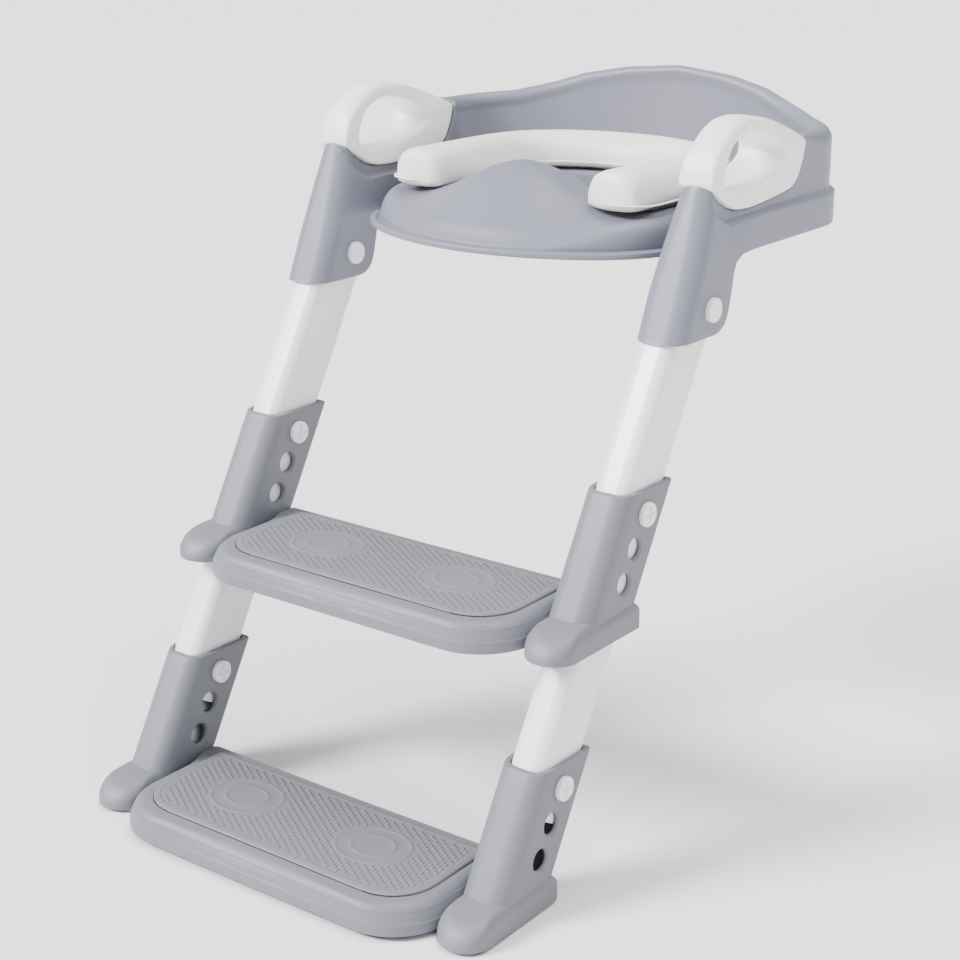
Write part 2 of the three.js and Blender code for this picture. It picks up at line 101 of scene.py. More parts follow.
def even(points, count, closed=True):
    """The same line walked in equal steps of length."""
    line = np.vstack([points, points[:1]]) if closed else np.asarray(points)
    steps = np.linalg.norm(np.diff(line, axis=0), axis=1)
    length = np.concatenate([[0], np.cumsum(steps)])
    at = np.linspace(0, length[-1], count, endpoint=not closed)
    return np.stack([np.interp(at, length, line[:, k]) for k in range(line.shape[1])], axis=1)


def reach(outline, centre, angles):
    """Distance from a centre to a closed outline in each direction, read off its polar form."""
    line = even(outline, 1600) - centre
    turn = np.arctan2(line[:, 1], line[:, 0])
    order = np.argsort(turn)
    far = np.hypot(line[:, 0], line[:, 1])[order]
    return np.interp(angles, turn[order], far, period=2 * math.pi)


def rounded_box(x0, x1, y0, y1, radii, count):
    """A rectangle whose four corners, from (x0, y0) anticlockwise, are quarter circles."""
    signs = [(-1, -1, 180), (1, -1, 270), (1, 1, 0), (-1, 1, 90)]
    arcs = []
    for (sx, sy, start), r in zip(signs, radii):
        turn = np.radians(np.linspace(start, start + 90, 13))
        centre = [x0 + r if sx < 0 else x1 - r, y0 + r if sy < 0 else y1 - r]
        arcs.append(centre + r * np.stack([np.cos(turn), np.sin(turn)], axis=1))
    return even(np.vstack(arcs), count)


def raised(plan, z):
    """Plan points with their heights, or one height for all, as the third value."""
    return np.concatenate([plan, np.broadcast_to(z, plan.shape[:-1])[..., None]], axis=-1)


def cap(rings):
    """A tube's rings with both ends drawn in to their middle points."""
    first, last = rings[:1].mean(axis=1, keepdims=True), rings[-1:].mean(axis=1, keepdims=True)
    wide = (1, rings.shape[1], 1)
    return np.concatenate([np.tile(first, wide), rings, np.tile(last, wide)])


def turned(profile, count=64):
    """A profile of (distance along X, radius) turned about the X axis."""
    along, radius = np.array(profile, float).T
    turn = np.linspace(0, 2 * math.pi, count, endpoint=False)
    ring = np.stack([np.zeros(count), np.cos(turn), np.sin(turn)], axis=1)
    return ring[None] * radius[:, None, None] + along[:, None, None] * [1, 0, 0]


def mirrored(rings, sign):
    return rings * [sign, 1, 1]


def make(name, sheets, body, material, replaced=(), wrap=False, sharp=40, offset=(0, 0, 0)):
    """One object from grids of points: rows of rings, each ring closed, in millimetres from the hinge
    axis. With wrap the last ring joins the first, and faces that meet at over sharp degrees keep an edge."""
    points, faces, start = [], [], 0
    for rings in sheets:
        rows, columns, _ = rings.shape
        row = np.arange(rows if wrap else rows - 1)[:, None]
        column = np.arange(columns)[None]
        beside = (column + 1) % columns
        above = (row + 1) % rows
        here, there = row * columns, above * columns
        corners = [here + column, here + beside, there + beside, there + column]
        faces.append(np.stack(corners, axis=-1).reshape(-1, 4) + start)
        points.append(rings.reshape(-1, 3))
        start += rows * columns
    mesh = bpy.data.meshes.new(name)
    where = (np.concatenate(points) + HINGE + np.asarray(offset)) * MM
    mesh.from_pydata(where.tolist(), [], np.concatenate(faces).tolist())
    piece = bpy.data.objects.new(name, mesh)
    bpy.context.scene.collection.objects.link(piece)
    close(mesh, sharp)
    finish_piece(piece, body, material, replaced)
    return piece


def close(mesh, sharp):
    """Merges what lies on one point, turns faces outward and marks edges sharper than an angle."""
    work = bmesh.new()
    work.from_mesh(mesh)
    bmesh.ops.remove_doubles(work, verts=work.verts, dist=2e-6)
    bmesh.ops.dissolve_degenerate(work, edges=work.edges, dist=1e-7)
    bmesh.ops.recalc_face_normals(work, faces=work.faces)
    work.to_mesh(mesh)
    work.free()
    mesh.shade_smooth()
    mesh.set_sharp_from_angle(angle=math.radians(sharp))


def finish_piece(piece, body, material, replaced):
    if material is not None:
        piece.data.materials.clear()
        piece.data.materials.append(material)
    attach(piece, body)
    if replaced:
        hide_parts(*replaced)


# ---------------------------------------------------------------- finishes


def node(tree, kind, **values):
    made = tree.nodes.new(kind)
    for key, value in values.items():
        if hasattr(made, key):
            setattr(made, key, value)
        else:
            made.inputs[key.replace("_", " ")].default_value = value
    return made


def moulded(name, colour, roughness, grain=0.35, mottle=0.03, coat=0.0):
    """Moulded plastic: faint cloudy colour, cloudy roughness and a fine spark-eroded grain."""
    material = bpy.data.materials.new(name)
    material.use_nodes = True
    tree = material.node_tree
    shader = tree.nodes["Principled BSDF"]
    shader.inputs["Coat Weight"].default_value = coat
    shader.inputs["Coat Roughness"].default_value = 0.25
    place = node(tree, "ShaderNodeTexCoord")
    cloud = node(tree, "ShaderNodeTexNoise", Scale=14.0, Detail=3.0)
    tint = node(tree, "ShaderNodeMapRange", To_Min=1 - mottle, To_Max=1 + mottle)
    shade = node(tree, "ShaderNodeVectorMath", operation="SCALE")
    shade.inputs[0].default_value = colour
    rough = node(tree, "ShaderNodeMapRange", To_Min=roughness - 0.05, To_Max=roughness + 0.07)
    fine = node(tree, "ShaderNodeTexNoise", Scale=900.0, Detail=2.0)
    bump = node(tree, "ShaderNodeBump", Strength=grain, Distance=0.0002)
    for source, output, target, entry in (
        (place, "Object", cloud, "Vector"),
        (place, "Object", fine, "Vector"),
        (cloud, "Fac", tint, "Value"),
        (cloud, "Fac", rough, "Value"),
        (tint, "Result", shade, "Scale"),
        (shade, "Vector", shader, "Base Color"),
        (rough, "Result", shader, "Roughness"),
        (fine, "Fac", bump, "Height"),
        (bump, "Normal", shader, "Normal"),
    ):
        tree.links.new(source.outputs[output], target.inputs[entry])
    return material


def coated_fabric(name, colour):
    """Coated cloth: a fine pebbled skin with soft creases and a satin sheen."""
    material = moulded(name, colour, 0.42, grain=0.4, mottle=0.015)
    tree = material.node_tree
    bump = next(n for n in tree.nodes if n.bl_idname == "ShaderNodeBump")
    place = next(n for n in tree.nodes if n.bl_idname == "ShaderNodeTexCoord")
    crease = node(tree, "ShaderNodeTexNoise", Scale=26.0, Detail=2.0, Distortion=0.8)
    soft = node(tree, "ShaderNodeBump", Strength=0.35, Distance=0.004)
    tree.links.new(place.outputs["Object"], crease.inputs["Vector"])
    tree.links.new(crease.outputs["Fac"], soft.inputs["Height"])
    tree.links.new(soft.outputs["Normal"], bump.inputs["Normal"])
    return material


def colour_property(name, description, default):
    return FloatVectorProperty(
        name=name, description=description, default=default, subtype="COLOR", size=3, min=0, max=1
    )


def length_property(name, description, default):
    return FloatProperty(name=name, description=description, default=default, unit="LENGTH")


class TrainerSizes(PropertyGroup):
    crest: length_property("Back height", "Top of the back over the hinge axis", 0.137)
    recess: length_property("Arm recess", "How far the arm lies behind its lower band", 0.0044)
    guard: length_property("Guard height", "Top of the splash guard over the hinge axis", 0.0845)
    cushion_top: length_property("Cushion top", "Top of the cushion over the hinge axis", 0.0855)
    outline_height: length_property("Mat outlines", "How far the ovals stand out of the step mats", 0.0008)


class TrainerFinishes(PropertyGroup):
    shell: colour_property("Seat shell", "Colour of the seat's mouldings", (0.182, 0.186, 0.236))
    step: colour_property("Steps", "Colour of the steps' mouldings", (0.166, 0.17, 0.2))
    mat: colour_property("Step mats", "Colour of the soft mats on the treads", (0.17, 0.173, 0.188))
    white: colour_property("White parts", "Colour of the legs, grips and screws", (0.9, 0.895, 0.88))
    cushion: colour_property("Cushion", "Colour of the coated cushion cover", (0.87, 0.84, 0.78))


def finish_named(name):
    """A finish is made once, from the colours in the panel, and then shared."""
    made = bpy.data.materials.get(name)
    if made:
        return made
    tone = bpy.context.scene.trainer_finishes
    makers = {
        "seat_shell": lambda: moulded(name, tone.shell, 0.45, grain=0.25),
        "step_shell": lambda: moulded(name, tone.step, 0.5, grain=0.3),
        "step_mat": lambda: moulded(name, tone.mat, 0.6, grain=0.35),
        "white_gloss": lambda: moulded(name, tone.white, 0.3, grain=0.08, mottle=0.01, coat=0.2),
        "white_grip": lambda: moulded(name, tone.white, 0.38, grain=0.1, mottle=0.01),
        "cushion_cover": lambda: coated_fabric(name, tone.cushion),
        # The cushion base's near-black colour is painted shade: it stands in for the dark gap and shadow
        # under the cushion.
        "painted_shade_plate": lambda: moulded(name, (0.05, 0.05, 0.05), 0.6),
        "grey_rubber": lambda: moulded(name, (0.13, 0.135, 0.145), 0.75, grain=0.6),
    }
    return makers[name]()


# ---------------------------------------------------------------- seat frame

ARM_OUTER = 187.8
ARM_INNER = 146.4
STRAIGHT_END = 169.0
BACK_OUTER = 95.0
BACK_INNER = 66.0
LOBE_FRONT = np.array([[-45.0, -22.0], [1.0, 86.0]])
LOBE_CORNER = 15.0
SKIN = 1.7
GRIP_LINE = np.array(
    [[1, 86], [5, 82.5], [11, 77.8], [19, 72.5], [27, 68], [36, 65], [50, 64.5], [80, 66.5], [112, 70]]
    + [[119, 73.5], [125, 80.5], [130, 92], [132.5, 101], [134, 105.5]],
    float,
)
UNDER_LINE = np.array(
    [[-45, -19.8], [6, -20], [13, -19], [19, -15.5], [23, -9], [26, 3], [30, 20]]
    + [[34, 28], [42, 32.5], [56, 34], [300, 34]],
    float,
)
RIDGE = np.array(
    [[-14, 92], [-6, 82], [3, 72], [12, 64], [20, 59.5], [27, 57.5], [40, 58.5], [80, 60], [300, 60]], float
)
CREST = np.array([[0, 1], [54, 0.971], [95, 0.92], [121, 0.861], [155, 0.8], [190, 0.78]])
TAPER_FROM = 8.0
TAPER_RISE = 78.0
TAPER_FADE = 22.0
TAPER_FADE_RUN = 40.0
TAPER_INNER = 8.0
TAPER_OUTER = 4.0
LOBE_REAR = 20.0
BACK_FROM = 132.4
GRIP_END = 134.0
BACK_LEAN_FROM = 58.0
BACK_LEAN_END = 12.0
INNER_WALL = 3.4
OUTER_WALL = 3.2
LOBE_WALL = 6.5


def front_of_lobe(z):
    """Where the lobe's straight leaning front lies at a height: y along the line through its two ends."""
    (y0, z0), (y1, z1) = LOBE_FRONT
    return y0 + (z - z0) * (y1 - y0) / (z1 - z0)


def top_of_lobe(y):
    """The same line read the other way: its height at a place along the arm."""
    (y0, z0), (y1, z1) = LOBE_FRONT
    return z0 + (y - y0) * (z1 - z0) / (y1 - y0)


def taper(y, z):
    """How far the lobe's inner and outer faces draw in towards the grip: height to the power 1.3, fading
    along the arm."""
    fade = 1 - smoothstep((y - TAPER_FADE) / TAPER_FADE_RUN)
    share = np.clip((z - TAPER_FROM) / TAPER_RISE, 0, 1) ** 1.3 * fade
    return TAPER_INNER * share, TAPER_OUTER * share


def frame_stations():
    """Places along one half of the frame: along the straight arm by y, then round the back by angle."""
    runs = [(-44.25, -40, 8), (-39, -12, 14), (-11, 44, 36), (46, 110, 14), (112, 142, 30)]
    runs.append((145, STRAIGHT_END, 6))
    straight = np.concatenate([np.linspace(a, b, n) for a, b, n in runs])
    turn = np.radians(np.linspace(0, 90, 45)[1:])
    return straight, turn


def plan_lines(straight, turn):
    """Outer and inner plan lines of one half: straight along the arm, then a quarter of an ellipse."""
    lines = []
    for half, depth in ((ARM_OUTER, BACK_OUTER), (ARM_INNER, BACK_INNER)):
        arm = np.stack([np.full_like(straight, half), straight], 1)
        back = np.stack([half * np.cos(turn), STRAIGHT_END + depth * np.sin(turn)], 1)
        lines.append(np.vstack([arm, back]))
    return lines


def col(values):
    """One value for each station, as a column that spreads over the section's points."""
    return values[:, None]


def section_heights(under, ridge, top):
    """Heights up the section's side, close together at the foot, at the ridge and at the rounded top."""
    tall = top - under
    lower = np.minimum(ridge - 1.6, under + tall * 0.5)
    upper = np.minimum(ridge + 1.6, under + tall * 0.6)
    foot_rows = (np.linspace(0, 1, 12) ** 1.5)[None, :-1]
    ridge_rows = np.linspace(0, 1, 7)[None, :-1]
    top_rows = 1 - (1 - np.linspace(0, 1, 30)[None]) ** 1.7
    return np.concatenate(
        [
            col(under) + col(lower - under) * foot_rows,
            col(lower) + col(upper - lower) * ridge_rows,
            col(upper) + col(top - upper) * top_rows,
        ],
        axis=1,
    )


def frame_rings(sizes):
    """A closed C-shaped section, drawn between the outer and inner plan lines, is carried from the lobe's
    tip along the arm to the middle of the back. Its heights follow the grip's seat and the crest."""
    straight, turn = frame_stations()
    outer, inner = plan_lines(straight, turn)
    y = np.concatenate([straight, np.full(len(turn), STRAIGHT_END)])
    round_back = np.concatenate([np.zeros_like(straight), turn / (math.pi / 2)])
    crest = sizes.crest / MM * np.interp(outer[:, 0], CREST[:, 0], CREST[:, 1])
    grip_top = np.interp(y, GRIP_LINE[:, 0], GRIP_LINE[:, 1])
    behind = smoothstep((y - BACK_FROM) / 1.8)
    settled = smoothstep((y - GRIP_END) / 34)
    top = np.where(y < LOBE_FRONT[1, 0], top_of_lobe(y), grip_top * (1 - behind) + crest * behind)
    under = np.interp(y, UNDER_LINE[:, 0], UNDER_LINE[:, 1])
    top = np.maximum(top, under + 0.02)
    ridge = np.interp(y, RIDGE[:, 0], RIDGE[:, 1])
    recess = sizes.recess / MM * smoothstep((y + 8) / 26)
    edge = 2.0 + 8.5 * settled * (1 - 0.62 * round_back)
    wide = np.linalg.norm(outer - inner, axis=1)
    roll = wide + (2.5 * edge - wide) * settled
    outer_wall = OUTER_WALL + (LOBE_WALL - OUTER_WALL) * (1 - smoothstep((y - 28) / 20))
    inner_share = 1 - smoothstep((y - 60) / 40)

    def lean_in(z):
        """How far the back's inner face leans out towards its rolled top: height to the power 0.85."""
        rise = np.maximum(col(top) - BACK_LEAN_END - BACK_LEAN_FROM, 1)
        return col(wide - roll) * np.clip((z - BACK_LEAN_FROM) / rise, 0, 1) ** 0.85

    z = section_heights(under, ridge, top)
    into = (col(y) - front_of_lobe(z)) * 0.95
    corner = np.where(col(y) < LOBE_REAR, quarter(into, LOBE_CORNER), 0)
    step = col(recess) * smoothstep((z - col(ridge) + 1.6) / 3.2)
    rim = quarter(col(top) - z, np.minimum(col(edge), col(top - under) * 0.9))
    foot = quarter(z - col(under), 0.8)
    inner_draw, outer_draw = taper(col(y), z)
    room = (col(wide) - inner_draw - outer_draw) * 0.49
    depth_out = outer_draw + np.minimum(np.maximum(corner, rim + step) + foot, room)
    depth_in = inner_draw + np.minimum(np.maximum(corner, rim + step * col(inner_share)) + foot, room)
    near = np.maximum(col(wide) - lean_in(z) - depth_in, depth_out + 0.01)

    below_front = np.where(y < -6, top_of_lobe(y - 1.9), 1e3)
    hollow_top = np.minimum(below_front, top - 3.5 * smoothstep((y + 38) / 20))
    hollow_top = np.clip(hollow_top, under + 0.01, None)
    z_wall = col(under) + col(hollow_top - under) * np.linspace(0, 1, 10)[None]
    depth = np.maximum((col(y) - front_of_lobe(z_wall)) * 0.95, SKIN)
    chord = (LOBE_CORNER - SKIN) ** 2 - np.clip(LOBE_CORNER - depth, 0, None) ** 2
    bend = np.where(col(y) < LOBE_REAR, LOBE_CORNER - np.sqrt(np.clip(chord, 0, None)), 0)
    inner_draw, outer_draw = taper(col(y), z_wall)
    behind_step = smoothstep((z_wall - col(ridge) + 6) / 4)
    wall_in = col(wide) - lean_in(z_wall) - np.maximum(INNER_WALL + inner_draw, bend)
    wall_in = np.maximum(wall_in - col(recess * inner_share) * behind_step, col(outer_wall) + 0.5)
    wall_out = np.maximum(col(outer_wall) + col(recess) * behind_step, bend) + outer_draw
    wall_out = np.minimum(wall_out, wall_in - 0.2)

    across = np.concatenate([depth_out, near[:, ::-1], wall_in, wall_out[:, ::-1]], axis=1)
    height = np.concatenate([z, z[:, ::-1], z_wall, z_wall[:, ::-1]], axis=1)
    inward = (inner - outer) / wide[:, None]
    plan = outer[:, None] + across[..., None] * inward[:, None]
    half = raised(plan, height)
    other = half[::-1][1:] * [-1, 1, 1]
    return cap(np.concatenate([half, other]))


class TRAINER_OT_seat_frame(Operator):
    """Makes the arms, the hinge lobes and the rounded back as one moulding"""

    bl_idname = "trainer.seat_frame"
    bl_label = "Seat Frame"

    def execute(self, context):
        rings = frame_rings(context.scene.trainer_sizes)
        make("frame_moulding", [rings], "seat", finish_named("seat_shell"), ["seat_frame"], sharp=50)
        return {"FINISHED"}


# ---------------------------------------------------------------- seat ring

RING_CENTRE = np.array([0.0, 104.0])
RING_HALF = 145.4
RIM_LEVEL = 29.0
FRONT_RADIUS = 178.0
FRONT_EDGE = -59.0
FRONT_SPREAD = 0.563
SIDE_START = 62.0
HOLE = (72.0, 64.0)
LIP_WIDTH = 8.0
LIP_TOP = 33.8
CROWN_TOP = 56.0
RING_WALL = 3.2
HOLLOW_TOP = 52.0
GUARD_MIDDLE = -22.0
GUARD_RUN = 50.0
GUARD_REAR = 46.0
GUARD_WIDTH = 66.0
GUARD_FOOT = 34.0
GUARD_BLEND = 9.0


def ring_outline():
    """Plan of the ring: a shallow arc in front, quadratic curves into straight sides and a half ellipse."""
    turn = np.linspace(-FRONT_SPREAD, FRONT_SPREAD, 80)
    middle_y = FRONT_EDGE + FRONT_RADIUS
    front = np.stack([FRONT_RADIUS * np.sin(turn), middle_y - FRONT_RADIUS * np.cos(turn)], 1)
    t = np.linspace(0, 1, 30)[:, None]
    start, bend, end = front[-1], np.array([RING_HALF, 0.0]), np.array([RING_HALF, SIDE_START])
    side = start * (1 - t) ** 2 + 2 * bend * t * (1 - t) + end * t**2
    turn = np.linspace(0, math.pi, 80)
    rear = np.stack([RING_HALF * np.cos(turn), STRAIGHT_END + (BACK_INNER - 0.8) * np.sin(turn)], 1)
    return np.vstack([front, side, rear, side[::-1] * [-1, 1]])


def ring_height(x, y, inset, guard):
    """Top of the ring: a quarter-round shoulder inside the lip and a slow rise. The guard over it is a bell
    across, exp(-x^2), times half a sine wave from front to back, blended in with a soft maximum."""
    side = smoothstep((np.abs(x) - 55) / 75)
    behind = smoothstep((y + 5) / 50)
    shoulder = 4 + 17 * np.maximum(side, behind)
    run = np.clip((inset - LIP_WIDTH) / 13, 0, 1)
    body = LIP_TOP + shoulder * np.sqrt(1 - (1 - run) ** 2)
    body = body + (CROWN_TOP - LIP_TOP - shoulder) * smoothstep((inset - 10) / 62)
    ridge = guard * (0.545 + 0.455 * np.exp(-((np.abs(x) / GUARD_WIDTH) ** 2)))
    wave = np.sin(np.clip((y - GUARD_MIDDLE) / GUARD_RUN, -1, 1) * math.pi / 2)
    hump = GUARD_FOOT + (ridge - GUARD_FOOT) * np.clip(0.5 + 0.5 * wave, 0, 1)
    over = np.where(y > GUARD_REAR, -GUARD_BLEND, hump - body)
    blend = np.clip(0.5 + 0.5 * over / GUARD_BLEND, 0, 1)
    raised = over * blend + GUARD_BLEND * blend * (1 - blend)
    return body + raised * smoothstep((inset - LIP_WIDTH) / 12)


def ring_grid(guard):
    """Rows run round the ring by angle. Columns go over the lip, across the top by ring_height, down the
    hole and back under."""
    angles = np.linspace(-math.pi, math.pi, 420, endpoint=False)
    ray = np.stack([np.cos(angles), np.sin(angles)], 1)
    far = reach(ring_outline(), RING_CENTRE, angles)
    turn = np.linspace(0, 2 * math.pi, 400)
    hole = RING_CENTRE + np.stack([HOLE[0] * np.cos(turn), HOLE[1] * np.sin(turn)], 1)
    near = reach(hole, RING_CENTRE, angles)
    lip = [(1.0, RIM_LEVEL), (0.2, 29.3), (0, 30), (0, 32.2), (0.3, 33.2), (1.2, 33.6), (5.4, 33.7)]
    lip += [(5.9, 33.0), (6.8, 33.0), (7.3, 33.7), (LIP_WIDTH, LIP_TOP)]
    room = far - near

    def top_row(inset, drop, limit=math.inf):
        """One row at a distance in from the edge, the given drop under the ring's top."""
        x, y = (RING_CENTRE + ray * (far - inset)[:, None]).T
        return inset, np.minimum(ring_height(x, y, inset, guard) - drop, limit)

    rows = [(0 * far + a, 0 * far + z) for a, z in lip]
    shoulder_rows = 0.2 * np.linspace(0.04, 1, 22) ** 2
    for t in np.concatenate([shoulder_rows, np.linspace(0.22, 0.94, 44), np.linspace(0.95, 1, 8)]):
        inset = LIP_WIDTH + (room - LIP_WIDTH) * t
        rows.append(top_row(inset, quarter(room - inset, 4.0)))
    edge = rows[-1][1]
    rows += [(room, edge + (RIM_LEVEL - edge) * t) for t in np.linspace(0.1, 1, 10)]
    hollow = np.minimum(edge - 6, HOLLOW_TOP) - RIM_LEVEL
    rows += [(room - RING_WALL, RIM_LEVEL + hollow * t) for t in np.linspace(0, 1, 7)]
    for t in np.linspace(0.9, 0.1, 8):
        rows.append(top_row(12 + (room - RING_WALL - 12) * t, RING_WALL, HOLLOW_TOP))
    rows += [(0 * far + 11.5, 0 * far + RIM_LEVEL + over) for over in (3, 0)]
    inset, z = np.array(rows).transpose(1, 2, 0)
    plan = RING_CENTRE + ray[:, None] * (far[:, None] - inset)[..., None]
    return raised(plan, z)


class TRAINER_OT_seat_ring(Operator):
    """Makes the ring with its lip, its groove and the splash guard"""

    bl_idname = "trainer.seat_ring"
    bl_label = "Seat Ring"

    def execute(self, context):
        rings, shell = ring_grid(context.scene.trainer_sizes.guard / MM), finish_named("seat_shell")
        make("ring_moulding", [rings], "seat", shell, ["seat_ring"], wrap=True, sharp=75)
        return {"FINISHED"}


# ---------------------------------------------------------------- grips

GRIP_CENTRE = np.array([58.0, 99.0])
GRIP_X = 169.5
GRIP_HALF = 14.2
GRIP_OUTLINE = [
    (1, 86.3), (4, 99), (12, 113), (27, 125.5), (48, 131.5), (76, 128), (103, 119), (128, 108.5),
    (133.5, 104.5), (132, 99), (129.5, 91), (124.5, 80), (118, 73.5), (111, 70.4), (80, 67), (50, 65),
    (36, 65.4), (27, 68.5), (19, 73), (11, 78.3), (5, 83),
]
GRIP_HOLE = [
    (18, 88), (21, 82), (28, 79.5), (44, 81), (66, 85), (84, 89), (96, 94.5), (99, 101.5), (92, 109),
    (78, 114.5), (60, 117), (45, 115), (31, 108.5), (21, 99),
]


def grip_rings():
    """A rounded section carried round the loop: each ring spans from the hole to the outline, and its
    section is a superellipse that is squarer where the grip lies in the arm."""
    angles = np.linspace(-math.pi, math.pi, 240, endpoint=False)
    ray = np.stack([np.cos(angles), np.sin(angles)], 1)
    far = reach(eased(GRIP_OUTLINE, 2), GRIP_CENTRE, angles)
    near = reach(eased(GRIP_HOLE, 3), GRIP_CENTRE, angles)
    edge = GRIP_CENTRE + ray * far[:, None]
    down = 1 - smoothstep((edge[:, 1] - 86 - 0.125 * (edge[:, 0] + 10)) / 30)
    inner_draw, outer_draw = taper(edge[:, 0], edge[:, 1])
    low, high = ARM_INNER + inner_draw, ARM_OUTER - outer_draw
    square = 2.3 + 6.5 * np.maximum(down, 0.8 * smoothstep((np.cos(angles) - 0.3) / 0.5))
    half_x = GRIP_HALF * (1 - down) + (high - low - 0.2) / 2 * down
    across = GRIP_X * (1 - down) + (low + high) / 2 * down
    turn = np.linspace(0, 2 * math.pi, 56, endpoint=False)
    power = (2 / square)[:, None]
    c, s = np.cos(turn)[None], np.sin(turn)[None]
    out = np.sign(c) * np.abs(c) ** power
    side = np.sign(s) * np.abs(s) ** power
    radius = (far + near)[:, None] / 2 + (far - near)[:, None] / 2 * out
    x = across[:, None] + half_x[:, None] * side
    yz = GRIP_CENTRE + ray[:, None] * radius[..., None]
    return np.concatenate([x[..., None], yz], axis=2)


class TRAINER_OT_grips(Operator):
    """Makes the two white closed-loop grips"""

    bl_idname = "trainer.grips"
    bl_label = "Grips"

    def execute(self, context):
        rings, white = grip_rings(), finish_named("white_grip")
        for side, sign in SIDES.items():
            loop = mirrored(rings, sign)
            make(f"grip_loop_{side}", [loop], "seat", white, [f"grip_{side}"], wrap=True)
        return {"FINISHED"}


# ---------------------------------------------------------------- cushion

CUSHION_OUTER = 121.0
CUSHION_LIMB = 47.0
CUSHION_TIP = 8.0
CUSHION_TURN = 118.0
CUSHION_REAR = (106.0, 52.0)
CUSHION_SEAM = 63.5
CUSHION_BOTTOM = 57.4
VOXEL = 0.0042
PRESSURE = 4.0
SWELL_FRAMES = 20
PEGS = ((97, 40), (97, 130), (-97, 40), (-97, 130))


def cushion_path(count):
    """Outer and inner plan lines of the U, from one tip to the other."""
    turn = np.linspace(0, math.pi, 90)
    lines = []
    for half, depth in ((CUSHION_OUTER, CUSHION_REAR[0]), (CUSHION_OUTER - CUSHION_LIMB, CUSHION_REAR[1])):
        arc = np.stack([half * np.cos(turn), CUSHION_TURN + depth * np.sin(turn)], 1)
        limb = np.linspace(CUSHION_TIP, CUSHION_TURN, 40, endpoint=False)
        one = np.stack([np.full(40, half), limb], 1)
        lines.append(even(np.vstack([one, arc, one[::-1] * [-1, 1]]), count, closed=False))
    return lines


def cushion_spine():
    """Middle line of the U, the half width square to it, and how far each point lies from a tip."""
    outer, inner = cushion_path(150)
    centre, half = (outer + inner) / 2, (outer - inner) / 2
    steps = np.linalg.norm(np.diff(centre, axis=0), axis=1)
    along = np.concatenate([[0], np.cumsum(steps)])
    return centre, half, np.minimum(along, along[-1] - along)


def tip_draw(from_tip, reach_in, power):
    """Half width left near a tip: the superellipse (1 - (1 - d/reach)^power)^(1/power)."""
    left = (1 - np.clip(1 - from_tip / reach_in, 0, 1) ** power) ** (1 / power)
    return np.maximum(left, 0.02) * (from_tip >= 0)


def cushion_rings(top):
    """A crowned section with a seam near its lower edge, carried along the U; both tips are drawn in."""
    centre, half, from_tip = cushion_spine()
    draw = tip_draw(from_tip, 14, 2.7)
    turn = np.linspace(0, 2 * math.pi, 56, endpoint=False)
    c, s = np.cos(turn), np.sin(turn)
    across = np.sign(c) * np.abs(c) ** 0.62
    plan = centre[:, None] + half[:, None] * (across[None] * draw[:, None])[..., None]
    tall = top - CUSHION_SEAM + 2 - 5 * np.clip(centre[:, 1] / 200, 0, 1)
    crown = tall[:, None] * np.abs(s)[None] ** 0.82
    lift = np.where(s[None] > 0, crown, -(CUSHION_SEAM - CUSHION_BOTTOM) * np.abs(s)[None] ** 0.5)
    z = CUSHION_SEAM + lift * draw[:, None] ** 0.5
    return cap(raised(plan, z))


def swell(piece, most):
    """Lets a cover blow up as cloth from inside, holding each point within a distance of its start."""
    scene = bpy.context.scene
    remesh = piece.modifiers.new("even cells", "REMESH")
    remesh.mode = "VOXEL"
    remesh.voxel_size = VOXEL
    settle(piece)
    start = np.empty(len(piece.data.vertices) * 3)
    piece.data.vertices.foreach_get("co", start)
    cloth = piece.modifiers.new("air", "CLOTH")
    cloth.settings.use_pressure = True
    cloth.settings.uniform_pressure_force = PRESSURE
    cloth.settings.effector_weights.gravity = 0.0
    cloth.settings.quality = 6
    for at in range(1, SWELL_FRAMES + 1):
        scene.frame_set(at)
    settle(piece)
    scene.frame_set(1)
    end = np.empty_like(start)
    piece.data.vertices.foreach_get("co", end)
    move = (end - start).reshape(-1, 3)
    far = np.linalg.norm(move, axis=1, keepdims=True)
    move *= np.minimum(1, most / np.maximum(far, 1e-9))
    piece.data.vertices.foreach_set("co", (start.reshape(-1, 3) + move).ravel())
    piece.data.update()
    smooth = piece.modifiers.new("smooth", "SUBSURF")
    smooth.levels = smooth.render_levels = 1
    settle(piece)
    piece.data.shade_smooth()


def seam_lines():
    """Closed outline of the cushion's plan: the outer line, across a tip, and back by the inner line."""
    centre, half, from_tip = cushion_spine()
    draw = tip_draw(from_tip - 2.2, 19, 2.3)[:, None]
    return even(np.vstack([centre + half * draw, (centre - half * draw)[::-1]]), 600)


def welt_rings():
    """The seam: a thin flattened tube along the plan outline, with small puckers that come and go."""
    line = seam_lines()
    ahead = np.roll(line, -1, axis=0) - np.roll(line, 1, axis=0)
    ahead /= np.linalg.norm(ahead, axis=1, keepdims=True)
    side = np.stack([ahead[:, 1], -ahead[:, 0]], axis=1)
    s = np.linspace(0, 2 * math.pi, len(line), endpoint=False)
    ruffle = 0.25 * np.sin(s * 97) + 0.15 * np.sin(s * 61 + 1)
    tip = smoothstep((34 - line[:, 1]) / 20)
    turn = np.linspace(0, 2 * math.pi, 10, endpoint=False)
    out = (0.9 + ruffle * tip)[:, None] + 1.2 * np.cos(turn)[None]
    z = CUSHION_SEAM + 0.2 * (ruffle * tip)[:, None] + 0.8 * np.sin(turn)[None]
    plan = line[:, None] + side[:, None] * out[..., None]
    return raised(plan, z)


